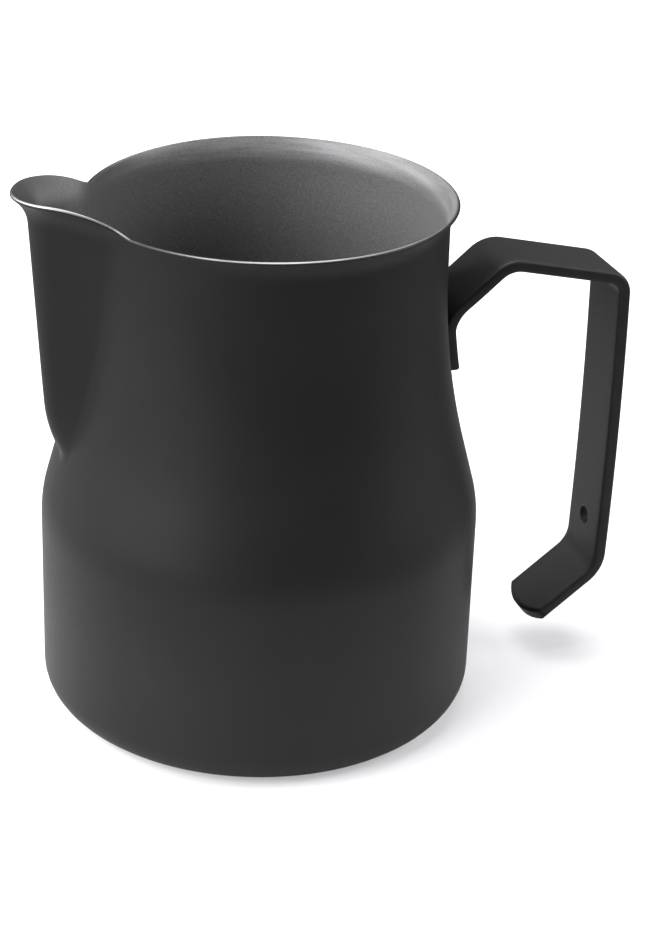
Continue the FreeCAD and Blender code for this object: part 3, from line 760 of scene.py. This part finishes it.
strap.data.materials.append(coated_strap)


# ---------------------------------------------------------------- the spot welds
# Two round nuggets of fused steel hold the tab to the neck. They sit between the two and stay bare.

WELD_TONES = (0.34, 0.62)
WELD_ROUGH = (0.35, 0.55)
WELD_RELIEF = 0.01

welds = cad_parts["spot_welds"]
weld_steel, tree, shader = new_material("weld_steel")
nugget = grouped(tree, powder_grain, Grains=5200.0, Waves=1800.0, Clouds=300.0)
tree.links.new(mixed(tree, nugget["Cloud"], *map(grey, WELD_TONES)), shader.inputs["Base Color"])
tree.links.new(between(tree, nugget["Grain"], *WELD_ROUGH, *NOISE_SPAN), shader.inputs["Roughness"])
shader.inputs["Metallic"].default_value = 1.0
bumped(tree, shader, nugget["Height"], WELD_RELIEF)
welds.data.materials.clear()
welds.data.materials.append(weld_steel)


# ---------------------------------------------------------------- the studio
# A plain pale floor that fades into open white, and five soft lights: the strongest at the left and
# above, and weaker ones behind the spout, at the handle and behind it. Places here are in metres.

FLOOR_SIDE = 4.0
FLOOR_DROP = 0.00005                 # how far the floor lies under the pitcher
PALE_TONES = (0.58, 0.60)            # the floor as it is seen
BOUNCE_TONES = (0.62, 0.13)          # the floor that lights the pitcher, near it and far off
BOUNCE_RANGE = (0.07, 0.24)
LIFT = (0.37, 1.0)                   # glow of the floor as it is seen, near the pitcher and far off
LIFT_RANGE = (0.25, 0.75)
FLOOR_ROUGH = 0.9
AMBIENT = 0.02                       # glow of the room
LIGHT_AIM = 0.06                     # height of the point that every light faces
LIGHTS = (
    # name, azimuth and elevation in degrees, distance, width, height, power in watts
    ("left_softbox", -75, 35, 1.1, 0.9, 0.9, 19.5),
    ("back_left_softbox", -125, 30, 1.2, 0.9, 0.9, 14.0),
    ("right_softbox", 70, 30, 1.2, 0.5, 0.9, 9.5),
    ("back_right_softbox", 125, 30, 1.2, 0.9, 0.9, 1.6),
    ("top_softbox", 180, 75, 1.3, 1.0, 1.0, 18.0),
)


def studio_floor():
    """The floor that the pitcher stands on."""
    half = FLOOR_SIDE / 2
    mesh = bpy.data.meshes.new("floor")
    corners = ((-half, -half), (half, -half), (half, half), (-half, half))
    mesh.from_pydata([(x, y, -FLOOR_DROP) for x, y in corners], [], [(0, 1, 2, 3)])
    floor = bpy.data.objects.new("floor", mesh)
    bpy.context.scene.collection.objects.link(floor)
    paint, floor_tree, floor_shader = new_material("floor_paint")
    on_floor = add_node(floor_tree, "ShaderNodeTexCoord").outputs["Object"]
    pale = mixed(floor_tree, noise_at(floor_tree, on_floor, 3.0, 2.0), *map(grey, PALE_TONES))
    far = add_node(floor_tree, "ShaderNodeVectorMath", {0: on_floor},
                   operation="LENGTH").outputs["Value"]
    fading = between(floor_tree, far, 0, 1, *BOUNCE_RANGE)
    bounce = mixed(floor_tree, fading, *map(grey, BOUNCE_TONES))
    seen = add_node(floor_tree, "ShaderNodeLightPath").outputs["Is Camera Ray"]
    floor_tree.links.new(mixed(floor_tree, seen, bounce, pale), floor_shader.inputs["Base Color"])
    # the floor is lifted towards pure white, and more so far away, where the lights don't reach
    glow = between(floor_tree, far, *LIFT, *LIFT_RANGE)
    lift = add_node(floor_tree, "ShaderNodeMath", {0: seen, 1: glow}, operation="MULTIPLY").outputs[0]
    floor_tree.links.new(lift, floor_shader.inputs["Emission Strength"])
    floor_shader.inputs["Emission Color"].default_value = grey(1.0)
    floor_shader.inputs["Roughness"].default_value = FLOOR_ROUGH
    mesh.materials.append(paint)


def soft_light(name, azimuth, elevation, distance, width, height, power):
    """A rectangular soft light that faces the pitcher; azimuth 0 is in front, 90 at the handle."""
    light = bpy.data.lights.new(name, "AREA")
    light.shape = "RECTANGLE"
    light.size = width
    light.size_y = height
    light.energy = power
    lamp = bpy.data.objects.new(name, light)
    bpy.context.scene.collection.objects.link(lamp)
    a, e = math.radians(azimuth), math.radians(elevation)
    out = Vector((math.sin(a) * math.cos(e), -math.cos(a) * math.cos(e), math.sin(e)))
    lamp.location = Vector((0, 0, LIGHT_AIM)) + out * distance
    lamp.rotation_mode = "QUATERNION"
    lamp.rotation_quaternion = (-out).to_track_quat("-Z", "Y")


def studio_world():
    """White where the camera looks past the floor, and a soft grey glow for light and reflections."""
    world = bpy.data.worlds.new("studio")
    bpy.context.scene.world = world
    world.use_nodes = True
    tree = world.node_tree
    tree.nodes.clear()
    seen = add_node(tree, "ShaderNodeLightPath").outputs["Is Camera Ray"]
    glow = add_node(tree, "ShaderNodeBackground", {"Color": (1, 1, 1, 1), "Strength": AMBIENT})
    backdrop = add_node(tree, "ShaderNodeBackground", {"Color": (1, 1, 1, 1), "Strength": 1.0})
    chosen = add_node(tree, "ShaderNodeMixShader", {0: seen, 1: glow.outputs[0], 2: backdrop.outputs[0]})
    add_node(tree, "ShaderNodeOutputWorld", {"Surface": chosen.outputs[0]})


studio_floor()
studio_world()
for light in LIGHTS:
    soft_light(*light)
bpy.context.scene.view_settings.view_transform = "Standard"


# ---------------------------------------------------------------- the camera
# It stands half a metre away, a little to the spout's side and 25 degrees up, and is turned slightly
# off the pitcher's axis.

CAMERA_AZIMUTH = -17.4
CAMERA_ELEVATION = 25.05
CAMERA_DISTANCE = 525.9
AIM_HEIGHT = 62.2
CAMERA_YAW = 1.8       # degrees to the right
CAMERA_PITCH = -0.63
CAMERA_ROLL = 1.37
CAMERA_LENS = 89.9     # focal length
CAMERA_SENSOR = 36.0   # width
CAMERA_NEAR = 10.0     # nearest thing that it sees

a, e = math.radians(CAMERA_AZIMUTH), math.radians(CAMERA_ELEVATION)
back = Vector((math.sin(a) * math.cos(e), -math.cos(a) * math.cos(e), math.sin(e)))
aim = (-back).to_track_quat("-Z", "Y").to_matrix()
turned = (Matrix.Rotation(math.radians(-CAMERA_YAW), 3, "Y")
          @ Matrix.Rotation(math.radians(CAMERA_PITCH), 3, "X")
          @ Matrix.Rotation(math.radians(CAMERA_ROLL), 3, "Z"))
eye = bpy.data.cameras.new("camera")
eye.lens = CAMERA_LENS
eye.sensor_width = CAMERA_SENSOR
eye.clip_start = CAMERA_NEAR * MM
camera = bpy.data.objects.new("camera", eye)
bpy.context.scene.collection.objects.link(camera)
camera.matrix_world = Matrix.Translation((back * CAMERA_DISTANCE + Vector((0, 0, AIM_HEIGHT))) * MM) @ (
    aim @ turned).to_4x4()
bpy.context.scene.camera = camera
